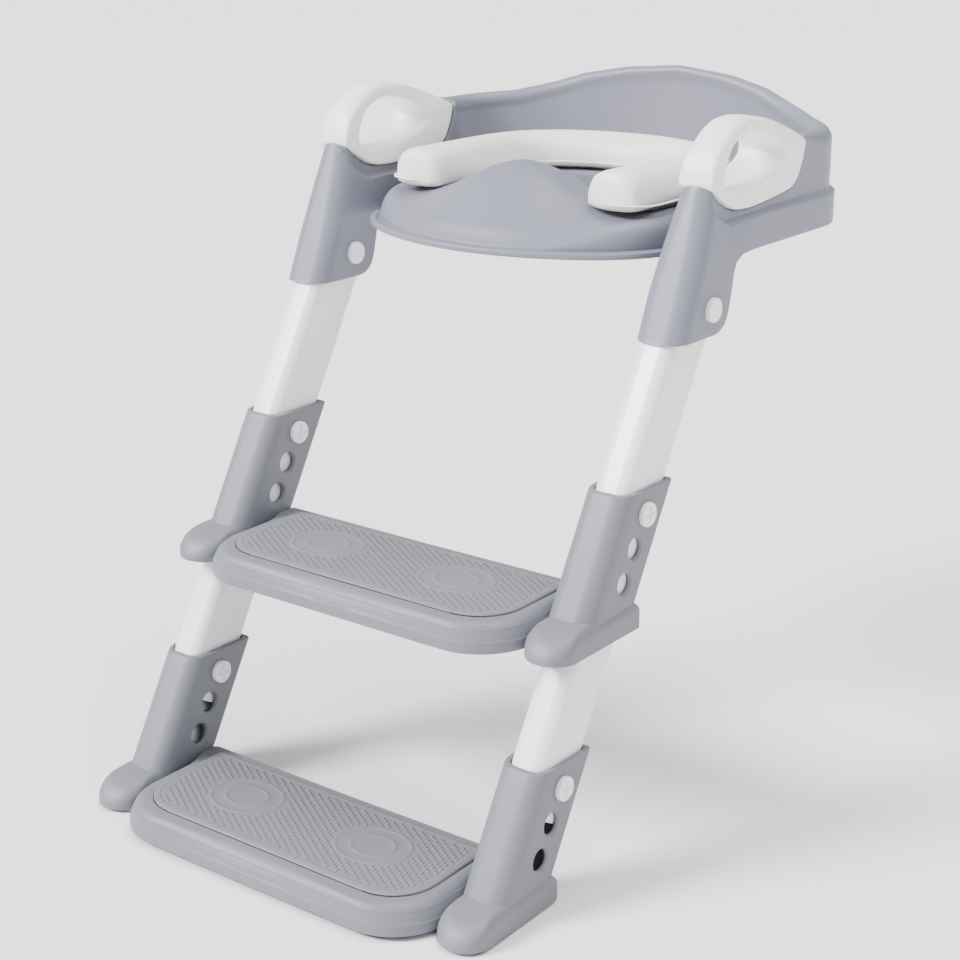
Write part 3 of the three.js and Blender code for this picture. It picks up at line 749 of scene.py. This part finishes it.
def base_rings():
    """The hard base: the cushion's section drawn in from its edges, as a flat slab."""
    centre, half, from_tip = cushion_spine()
    shown = from_tip > 22
    draw = 0.62 * np.sqrt(1 - np.clip(1 - (from_tip[shown] - 20) / 12, 0, 1) ** 2)
    across = np.array([1, 1, 1, 0, -1, -1, -1, 0])
    lift = np.array([56.9, 59, 61, 61, 61, 59, 56.9, 56.9])
    plan = centre[shown, None] + half[shown, None] * (across[None] * draw[:, None])[..., None]
    return cap(raised(plan, lift))


def peg_rings(x, y):
    """A peg under the base: a round section that is carried down to a rounded tip."""
    ring = turned([(0, 4), (10, 4), (12, 3.4), (13, 2)], 32)
    return cap(np.stack([x + ring[..., 1], y + ring[..., 2], 58 - ring[..., 0]], axis=-1))


class TRAINER_OT_cushion(Operator):
    """Makes the padded cover, its seam welt and the hard base under it"""

    bl_idname = "trainer.cushion"
    bl_label = "Cushion"

    def execute(self, context):
        rings = cushion_rings(context.scene.trainer_sizes.cushion_top / MM)
        cover = finish_named("cushion_cover")
        pad = make("cushion_pad", [rings], "cushion", cover, ["cushion"], sharp=180)
        swell(pad, 0.006)
        make("cushion_seam", [welt_rings()], "cushion", cover, wrap=True, sharp=180)
        under = [base_rings()] + [peg_rings(x, y) for x, y in PEGS]
        # The base and its pegs get the near-black painted-shade finish, which stands in for the shadowed gap
        # under the cushion.
        make("cushion_base", under, "cushion", finish_named("painted_shade_plate"), ["cushion_plate"])
        return {"FINISHED"}


# ---------------------------------------------------------------- legs

LEG_X = (150.5, 180.5)
LEG_V = (-26.0, 19.0)
LEG_END = 379.5
LEG_TOP = 26.0
LEG_WALL = 2.0
LEG_BORE = 120.0


def along_leg(x, v, u):
    """Leg coordinates to the frame: v is square to the leg's line, u runs down it."""
    y = v * math.cos(LEAN) - u * math.sin(LEAN)
    z = -v * math.sin(LEAN) - u * math.cos(LEAN)
    return np.stack(np.broadcast_arrays(x, y, z), axis=-1)


def leg_section(grow, radii, count):
    """The leg's rounded box section, grown or shrunk all round."""
    (x0, x1), (v0, v1) = LEG_X, LEG_V
    return rounded_box(x0 - grow, x1 + grow, v0 - grow, v1 + grow, radii, count)


def leg_rings():
    """A rounded box section drawn down the leg, its top end following a circle about the hinge, and
    drawn back up inside as the tube's bore."""
    outside = leg_section(0, (10, 10, 4, 4), 96)
    inside = leg_section(-LEG_WALL, (8, 8, 3, 3), 96)
    over = -LEG_TOP * np.cos(np.radians(np.linspace(4, 90, 10)))
    down = np.concatenate([over, np.linspace(20, LEG_END - 1, 12), [LEG_END]])
    rings = []
    for u in down:
        limit = math.sqrt(max(LEG_TOP**2 - min(u, 0) ** 2, 0))
        rings.append(along_leg(outside[:, 0], np.clip(outside[:, 1], -limit, limit), u))
    for u in (LEG_END, LEG_END - 2, LEG_END - LEG_BORE):
        rings.append(along_leg(inside[:, 0], inside[:, 1], u))
    return cap(np.array(rings))


class TRAINER_OT_legs(Operator):
    """Makes the two white hollow legs"""

    bl_idname = "trainer.legs"
    bl_label = "Legs"

    def execute(self, context):
        rings, white = leg_rings(), finish_named("white_gloss")
        for side, sign in SIDES.items():
            make(f"rail_{side}", [mirrored(rings, sign)], "ladder", white, [f"leg_{side}"])
        return {"FINISHED"}


# ---------------------------------------------------------------- steps

SLEEVE_X = (145.5, 184.5)
SLEEVE_V = (-30.5, 23.0)
SLEEVE_TOP = 17.6
PLAY = 0.6
BOOT_X = (146.5, 187.0)
BOOT_Y = (-107.0, -6.0)
BOOT_MIDDLE = np.array([165.2, -50.0])
BOOT_TOP = -62.0
BOOT_ROUND = 9.5
SOLE = -84.0
HOLE_PITCH = 26.0
HOLE_RADIUS = 8.0
SCREW_HOLE = 4.6
COUNTERSINK = 1.8
TREAD_HALF = 146.0
TREAD_Y = (-127.0, -9.0)
TREAD_TOP = -61.0
TREAD_MIDDLE = np.array([0.0, -66.0])
SHOULDER_TURN = 62
MAT_HALF = 131.0
MAT_Y = (-111.0, -16.0)
MAT_TOP = -59.4
MAT_RECESS = 3.2
MAT_CORNER = 36.0
MAT_CORNER_X = MAT_HALF - MAT_CORNER
MAT_CORNER_Y = MAT_Y[0] + MAT_CORNER
OVAL_MIDDLE = (62, -60)
OVAL_HALF = (30, 24)
DOT_PITCH = (4.9, 4.2)
DOT_TURN = 58
DOT_RINGS = ((1.55, -0.4), (1.55, 0.2), (0.95, 0.75))


def level_section(section, z):
    """A leg section cut level at a height: y stretches by 1/cos of the lean and slides by z tan of it."""
    y = section[:, 1] / math.cos(LEAN) + z * math.tan(LEAN)
    return raised(np.stack([section[:, 0], y], 1), z)


def sleeve_rings():
    """The sleeve's outside drawn down from its rounded top edge, then its inside drawn back up."""
    outside = rounded_box(*SLEEVE_X, *SLEEVE_V, (14, 14, 3, 3), 120)
    inside = leg_section(PLAY, (9.5, 9.5, 3, 3), 120)
    blend = lambda t, z: level_section(outside * (1 - t) + inside * t, z)
    rings = [blend(0.35, SLEEVE_TOP), blend(0.12, SLEEVE_TOP - 0.2), blend(0, SLEEVE_TOP - 1)]
    rings += [blend(0, z) for z in np.linspace(SLEEVE_TOP - 6, SOLE + 4, 10)]
    rings += [blend(1, z) for z in np.linspace(SOLE + 4, SLEEVE_TOP - 1, 10)]
    rings += [blend(0.9, SLEEVE_TOP - 0.1)]
    return np.array(rings)


def boot_rings():
    """The boot: a plan outline with a rounded toe, drawn up its side, over a rounded edge and in to the top,
    which falls away towards the toe."""
    plan = rounded_box(*BOOT_X, *BOOT_Y, (21, 19, 3, 3), 140)
    centre = BOOT_MIDDLE
    fall = lambda y: BOOT_TOP - 15 * (1 - np.sqrt(1 - np.clip((-50 - y) / 59, 0, 0.98) ** 2))
    rings = [raised(centre + (plan - centre) * 0.96, SOLE)]
    for t in np.linspace(0, 1, 5):
        top = fall(plan[:, 1])
        low, high = SOLE + 1.0, top - BOOT_ROUND
        rings.append(raised(plan, low + (np.maximum(high, low + 0.1) - low) * t))
    for turn in np.radians(np.linspace(10, 90, 9)):
        draw = 1 - 1.3 * BOOT_ROUND * (1 - math.cos(turn)) / np.linalg.norm(plan - centre, axis=1)
        spot = centre + (plan - centre) * draw[:, None]
        top = fall(plan[:, 1])
        high = np.maximum(top - BOOT_ROUND, SOLE + 1.1)
        rings.append(raised(spot, high + (fall(spot[:, 1]) - high) * math.sin(turn)))
    last = rings[-1][:, :2]
    for t in (0.75, 0.5, 0.25):
        inner = centre + (last - centre) * t
        rings.append(raised(inner, fall(inner[:, 1])))
    return cap(np.array(rings))


def tread_outline(count):
    return rounded_box(-TREAD_HALF, TREAD_HALF, *TREAD_Y, (46, 46, 4, 4), count)


def mat_outline(count, grow=0.0):
    half = MAT_HALF + grow
    return rounded_box(-half, half, MAT_Y[0] - grow, MAT_Y[1] + grow, (36, 36, 6, 6), count)


def tread_rings():
    """The tread, from the middle of the mat's recess out over the rim and the rolled shoulder, down the
    skirt, and back in under it."""
    count = 360
    edge = tread_outline(count)
    centre = TREAD_MIDDLE
    angles = np.arctan2(*(edge - centre).T[::-1])
    ray = np.stack([np.cos(angles), np.sin(angles)], 1)
    far = np.linalg.norm(edge - centre, axis=1)
    mat = reach(mat_outline(count, 0.35), centre, angles)
    floor = MAT_TOP - MAT_RECESS
    front = smoothstep((-20 - edge[:, 1]) / 25)
    shoulder = 2 + 10 * front
    rows = [(mat * t, floor) for t in (0.3, 0.7, 1.0)]
    rows += [(mat, TREAD_TOP - 0.4), (mat + 0.4, TREAD_TOP)]
    rows += [(mat + (far - shoulder - mat) * t, TREAD_TOP) for t in (0.35, 0.7)]
    for turn in np.radians(np.linspace(0, SHOULDER_TURN, 9)):
        draw = 1 - math.sin(turn) / math.sin(math.radians(SHOULDER_TURN))
        rows.append((far - shoulder * draw, TREAD_TOP - 1.9 * shoulder * (1 - math.cos(turn))))
    rows += [(far + 0.5 * front, TREAD_TOP - 1.05 * shoulder), (far + 0.9 * front, SOLE + 2.6)]
    rows += [(far - 0.2, SOLE + 2), (far - 3, SOLE + 2), (far - 3.2, SOLE + 3)]
    rows += [(far - 3.4, floor - 3), (far * 0.5, floor - 3)]
    rings = []
    for radius, z in rows:
        rings.append(raised(centre + ray * np.broadcast_to(radius, far.shape)[:, None], z))
    return cap(np.array(rings))


def rib_rings(x):
    """A thin rib under the tread: a rounded box section drawn upwards."""
    plan = rounded_box(x - 1.5, x + 1.5, TREAD_Y[0] + 3, TREAD_Y[1] - 3, (1, 1, 1, 1), 24)
    heights = SOLE + 3, SOLE + 12, TREAD_TOP - 4
    return cap(np.array([raised(plan, z) for z in heights]))


def ovals(x, y):
    """Distance from the nearer of two plain ovals' middles, as a share of its size."""
    over = (y - OVAL_MIDDLE[1]) / OVAL_HALF[1]
    right, left = (x - OVAL_MIDDLE[0]) / OVAL_HALF[0], (x + OVAL_MIDDLE[0]) / OVAL_HALF[0]
    return np.minimum(np.hypot(right, over), np.hypot(left, over))


def outlines(x, y, height):
    """Raised outlines of each oval and of a smaller one in it: bells in the distance from the line."""
    share = ovals(x, y)
    large, small = ((share - size) * 26 / 1.3 for size in (1, 0.58))
    return height * (np.exp(-(large**2)) + np.exp(-(small**2)))


def mat_rings(height):
    """The mat as two sheets that share their edge: y is spaced between the straight rear edge and the
    rounded front edge, outlines and a thin raised rim are added on top, and the edges are rounded down."""
    columns, rows = 240, 96
    spread = np.linspace(-1, 1, columns)
    x = MAT_HALF * np.sin(spread * math.pi / 2 * 0.999) * 0.35 + spread * MAT_HALF * 0.65
    outline = mat_outline(2400)
    lower = outline[outline[:, 1] < MAT_CORNER_Y + 0.5]
    lower = lower[np.argsort(lower[:, 0])]
    front = np.interp(x, lower[:, 0], lower[:, 1])
    front[[0, -1]] = MAT_CORNER_Y
    rear = MAT_Y[1] - quarter(MAT_HALF - np.abs(x), 6.0)
    t = np.linspace(0, 1, rows)
    y = rear[:, None] + (front - rear)[:, None] * t[None]
    x = np.broadcast_to(x[:, None], y.shape)
    side = MAT_HALF - np.abs(x)
    in_corner = (y < MAT_CORNER_Y) & (np.abs(x) > MAT_CORNER_X)
    corner = MAT_CORNER - np.hypot(y - MAT_CORNER_Y, np.abs(x) - MAT_CORNER_X)
    to_edge = np.minimum(np.minimum(side, rear[:, None] - y), np.where(in_corner, corner, y - MAT_Y[0]))
    to_edge = np.maximum(to_edge, 0)
    inside = smoothstep((to_edge - 6) / 1.5)
    rim = 0.5 * np.exp(-(((to_edge - 4.0) / 1.2) ** 2))
    top = MAT_TOP - quarter(to_edge, 1.2) + outlines(x, y, height) * inside + rim * (to_edge > 1)
    bottom = np.full_like(top, MAT_TOP - 2.6) + np.where(to_edge <= 0, 1.4, 0)
    top = np.where(to_edge <= 0, MAT_TOP - 1.2, top)
    over = np.stack([x, y, top], axis=-1)
    under = np.stack([x, y, bottom], axis=-1)[:, 1:-1][:, ::-1]
    return cap(np.concatenate([over, under], axis=1))


def dot_sheets():
    """Small blunt domes on a turned grid, each a few rings wide, kept off the mat's rim and its ovals."""
    along, over = np.meshgrid(np.arange(-60, 61) * DOT_PITCH[0], np.arange(-60, 61) * DOT_PITCH[1])
    turn = math.radians(DOT_TURN)
    x = (along * math.cos(turn) - over * math.sin(turn)).ravel()
    y = (along * math.sin(turn) + over * math.cos(turn)).ravel() - 62
    corner = np.hypot(np.clip(np.abs(x) - MAT_CORNER_X, 0, None), np.clip(MAT_CORNER_Y - y, 0, None))
    across = np.minimum(MAT_CORNER - corner, MAT_HALF - np.abs(x))
    room = np.minimum(across, np.minimum(MAT_Y[1] - y, y - MAT_Y[0]))
    kept = (room > 7.5) & (ovals(x, y) > 1.13)
    angle = np.linspace(0, 2 * math.pi, 6, endpoint=False)
    ring = np.stack([np.cos(angle), np.sin(angle), 0 * angle], 1)
    dome = cap(np.array([ring * r + [0, 0, MAT_TOP + z] for r, z in DOT_RINGS]))
    return [dome + [a, b, 0] for a, b in zip(x[kept], y[kept])]


def bore_holes(piece, offset, centres):
    """Cuts round holes across a piece with a bar that is taken away from it."""
    inside, outside = SLEEVE_X
    bars = []
    for y, z, r in centres:
        wide = r + COUNTERSINK
        line = [(100, 0.001), (100, wide), (inside - 1.2, wide), (inside + 1.6, r)]
        line += [(outside - 1.6, r), (outside + 1.2, wide), (230, wide), (230, 0.001)]
        bars.append(turned(line, 48) + [0, y, z])
    bars += [mirrored(bar, -1) for bar in bars]
    tool = make("hole_tool", bars, "ladder", None, offset=offset)
    cut = piece.modifiers.new("holes", "BOOLEAN")
    cut.object = tool
    cut.solver = "EXACT"
    flat = piece.modifiers.new("flat faces", "WEIGHTED_NORMAL")
    flat.keep_sharp = True
    settle(piece)
    bpy.data.objects.remove(tool)


def settle(piece):
    """Writes a piece's modifiers into its mesh."""
    graph = bpy.context.evaluated_depsgraph_get()
    shown = piece.evaluated_get(graph)
    baked = bpy.data.meshes.new_from_object(shown, preserve_all_data_layers=True, depsgraph=graph)
    piece.modifiers.clear()
    piece.data = baked


class TRAINER_OT_steps(Operator):
    """Makes both steps: treads, sleeves, boots and dotted mats"""

    bl_idname = "trainer.steps"
    bl_label = "Steps"

    def execute(self, context):
        height = context.scene.trainer_sizes.outline_height / MM
        shell, mat = finish_named("step_shell"), finish_named("step_mat")
        down = -HOLE_PITCH * np.array([math.sin(LEAN), math.cos(LEAN)])
        holes = [(*(down * i), HOLE_RADIUS if i else SCREW_HOLE) for i in range(3)]
        for where, at in (("middle", MIDDLE_STEP), ("bottom", BOTTOM_STEP)):
            sleeves = [mirrored(sleeve_rings(), sign) for sign in SIDES.values()]
            made = make(f"{where}_sleeves", sleeves, "ladder", shell, wrap=True, offset=at)
            bore_holes(made, at, holes)
            boots = [mirrored(boot_rings(), sign) for sign in SIDES.values()]
            make(f"{where}_boots", boots, "ladder", shell, offset=at, sharp=30)
            tread, ribs = [tread_rings()], [rib_rings(x) for x in (-70, 0, 70)]
            make(f"{where}_tread", tread, "ladder", shell, [f"{where}_step"], offset=at, sharp=24)
            make(f"{where}_ribs", ribs, "ladder", shell, offset=at)
            top = [mat_rings(height), *dot_sheets()]
            make(f"{where}_grip_mat", top, "ladder", mat, [f"{where}_step_mat"], offset=at, sharp=60)
        return {"FINISHED"}


# ---------------------------------------------------------------- screws and hinge heads

HEAD_HEIGHT = 4.0
FACE_RADIUS = 7.8
EDGE_ROUND = 1.2
HEAD_RADIUS = FACE_RADIUS + EDGE_ROUND
FACE_DOME = 0.35
SHANK_RADIUS = 4.5
CROSS_TURN = 0.6
CROSS_DEPTH = 1.7
CROSS_REACH = 6.6
LOBE_X = (147.0, 187.5)


def head_rings(face, outward, slotted):
    """A domed head turned about X, with a cross of two grooves pressed into its face where it has one."""
    turn = np.linspace(0, 2 * math.pi, 96, endpoint=False) + CROSS_TURN
    face_line, edge_turn = np.linspace(0, FACE_RADIUS, 22), np.radians(np.linspace(10, 90, 8))
    radius = np.concatenate([face_line, FACE_RADIUS + EDGE_ROUND * np.sin(edge_turn)])
    edge_fall = FACE_DOME + EDGE_ROUND * (1 - np.cos(edge_turn))
    fall = np.concatenate([FACE_DOME * (face_line / FACE_RADIUS) ** 2, edge_fall])
    height = np.broadcast_to((HEAD_HEIGHT - fall)[:, None], (30, 96)).copy()
    a = radius[:, None] * np.cos(turn)[None]
    b = radius[:, None] * np.sin(turn)[None]
    if slotted:
        groove = np.maximum(smoothstep(1.7 - np.abs(a) / 0.7), smoothstep(1.7 - np.abs(b) / 0.7))
        height -= CROSS_DEPTH * groove * smoothstep((CROSS_REACH - radius) / 0.5)[:, None]
    rim = np.stack([np.zeros(96), HEAD_RADIUS * np.cos(turn), HEAD_RADIUS * np.sin(turn)], 1)
    dome = np.stack([height, a, b], axis=-1)
    rings = np.concatenate([dome, rim[None]])
    rings[..., 0] = face + outward * (rings[..., 0] + 0.3)
    return cap(rings)


def shank(walls, sign):
    """A round bar from one head to the other, reaching 1 mm past each wall."""
    return mirrored(cap(turned([(walls[0] - 1, SHANK_RADIUS), (walls[1] + 1, SHANK_RADIUS)], 32)), sign)


class TRAINER_OT_fasteners(Operator):
    """Makes the hinge heads and the cross-slotted screws"""

    bl_idname = "trainer.fasteners"
    bl_label = "Fasteners"

    def execute(self, context):
        white = finish_named("white_gloss")
        for side, sign in SIDES.items():
            inner = mirrored(head_rings(LOBE_X[0], -1, False), sign)
            outer = mirrored(head_rings(LOBE_X[1], 1, False), sign)
            head, button = [outer, shank(LOBE_X, sign)], [inner]
            make(f"hinge_head_{side}", head, "seat", white, [f"hinge_pin_{side}"])
            make(f"hinge_button_{side}", button, "seat", white, [f"hinge_cap_{side}"])
            inner = mirrored(head_rings(SLEEVE_X[0], -1, True), sign)
            outer = mirrored(head_rings(SLEEVE_X[1], 1, True), sign)
            screw, end = [outer, shank(SLEEVE_X, sign)], [inner]
            for where, at in (("middle", MIDDLE_STEP), ("bottom", BOTTOM_STEP)):
                bolt, nut = [f"{where}_bolt_{side}"], [f"{where}_nut_{side}"]
                make(f"{where}_screw_{side}", screw, "ladder", white, bolt, offset=at)
                make(f"{where}_screw_end_{side}", end, "ladder", white, nut, offset=at)
        return {"FINISHED"}


class TRAINER_OT_hidden_parts(Operator):
    """Gives the rubber pads their finish"""

    bl_idname = "trainer.hidden_parts"
    bl_label = "Rubber Pads"

    def execute(self, context):
        rubber = finish_named("grey_rubber")
        for name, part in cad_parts.items():
            if name.startswith(("rim_pad", "foot_pad")):
                dress(part, rubber)
        return {"FINISHED"}


def dress(part, material):
    for place in part.material_slots:
        place.material = material
    if not part.material_slots:
        part.data.materials.append(material)


# ---------------------------------------------------------------- stage

VIEW_TURN = 37.08
VIEW_RISE = 18.35
EYE = np.array([862.7, -1167.0, 316.1])
LENS = 72.14
FLOOR = 60.0


def sun(name, place, strength, spread):
    """A far soft light that shines from a place towards the middle, spread over an angle in degrees."""
    data = bpy.data.lights.new(name, "SUN")
    data.energy = strength
    data.angle = math.radians(spread)
    made = bpy.data.objects.new(name, data)
    made.rotation_euler = (-Vector(place)).to_track_quat("-Z", "Y").to_euler()
    bpy.context.scene.collection.objects.link(made)


class TRAINER_OT_stage(Operator):
    """Sets the floor, the soft lights and the camera"""

    bl_idname = "trainer.stage"
    bl_label = "Stage"

    def execute(self, context):
        scene = context.scene
        floor_mesh = bpy.data.meshes.new("floor")
        corners = [(-FLOOR, -FLOOR, 0), (FLOOR, -FLOOR, 0), (FLOOR, FLOOR, 0), (-FLOOR, FLOOR, 0)]
        floor_mesh.from_pydata(corners, [], [(0, 1, 2, 3)])
        floor = bpy.data.objects.new("floor", floor_mesh)
        scene.collection.objects.link(floor)
        floor_mesh.materials.append(moulded("pale_floor", (0.86, 0.86, 0.86), 0.7, grain=0.0, mottle=0.0))
        world = scene.world or bpy.data.worlds.new("world")
        scene.world = world
        world.use_nodes = True
        back = world.node_tree.nodes["Background"]
        back.inputs["Color"].default_value = (1.0, 1.0, 1.0, 1)
        back.inputs["Strength"].default_value = 0.66
        sun("key", (-0.8, -1.0, 1.0), 7.0, 22)
        sun("fill", (1.0, -0.35, 0.9), 0.65, 60)
        sun("top", (0.25, 0.35, 1.6), 2.6, 40)
        data = bpy.data.cameras.new("camera")
        data.sensor_width = 36
        data.lens = LENS
        camera = bpy.data.objects.new("camera", data)
        camera.location = (EYE + HINGE) * MM
        turn, rise = math.radians(VIEW_TURN), math.radians(VIEW_RISE)
        level = math.cos(rise)
        toward = Vector((-math.sin(turn) * level, math.cos(turn) * level, -math.sin(rise)))
        camera.rotation_euler = toward.to_track_quat("-Z", "Y").to_euler()
        scene.collection.objects.link(camera)
        scene.camera = camera
        return {"FINISHED"}


PIECES = (
    TRAINER_OT_seat_frame,
    TRAINER_OT_seat_ring,
    TRAINER_OT_grips,
    TRAINER_OT_cushion,
    TRAINER_OT_legs,
    TRAINER_OT_steps,
    TRAINER_OT_fasteners,
    TRAINER_OT_hidden_parts,
    TRAINER_OT_stage,
)


class TRAINER_PT_panel(Panel):
    """Lists the sizes, the finishes and the pieces"""

    bl_label = "Trainer Seat"
    bl_idname = "TRAINER_PT_panel"
    bl_space_type = "VIEW_3D"
    bl_region_type = "UI"
    bl_category = "Trainer Seat"

    def draw(self, context):
        for group in (context.scene.trainer_sizes, context.scene.trainer_finishes):
            box = self.layout.box()
            for name in group.__annotations__:
                box.prop(group, name)
        for piece in PIECES:
            self.layout.operator(piece.bl_idname)


CLASSES = (TrainerSizes, TrainerFinishes, *PIECES, TRAINER_PT_panel)


def register():
    for made in CLASSES:
        bpy.utils.register_class(made)
    bpy.types.Scene.trainer_sizes = PointerProperty(type=TrainerSizes)
    bpy.types.Scene.trainer_finishes = PointerProperty(type=TrainerFinishes)


def unregister():
    del bpy.types.Scene.trainer_finishes
    del bpy.types.Scene.trainer_sizes
    for made in reversed(CLASSES):
        bpy.utils.unregister_class(made)


def main():
    register()
    for piece in PIECES:
        group, name = piece.bl_idname.split(".")
        getattr(getattr(bpy.ops, group), name)()


if __name__ == "__main__":
    main()
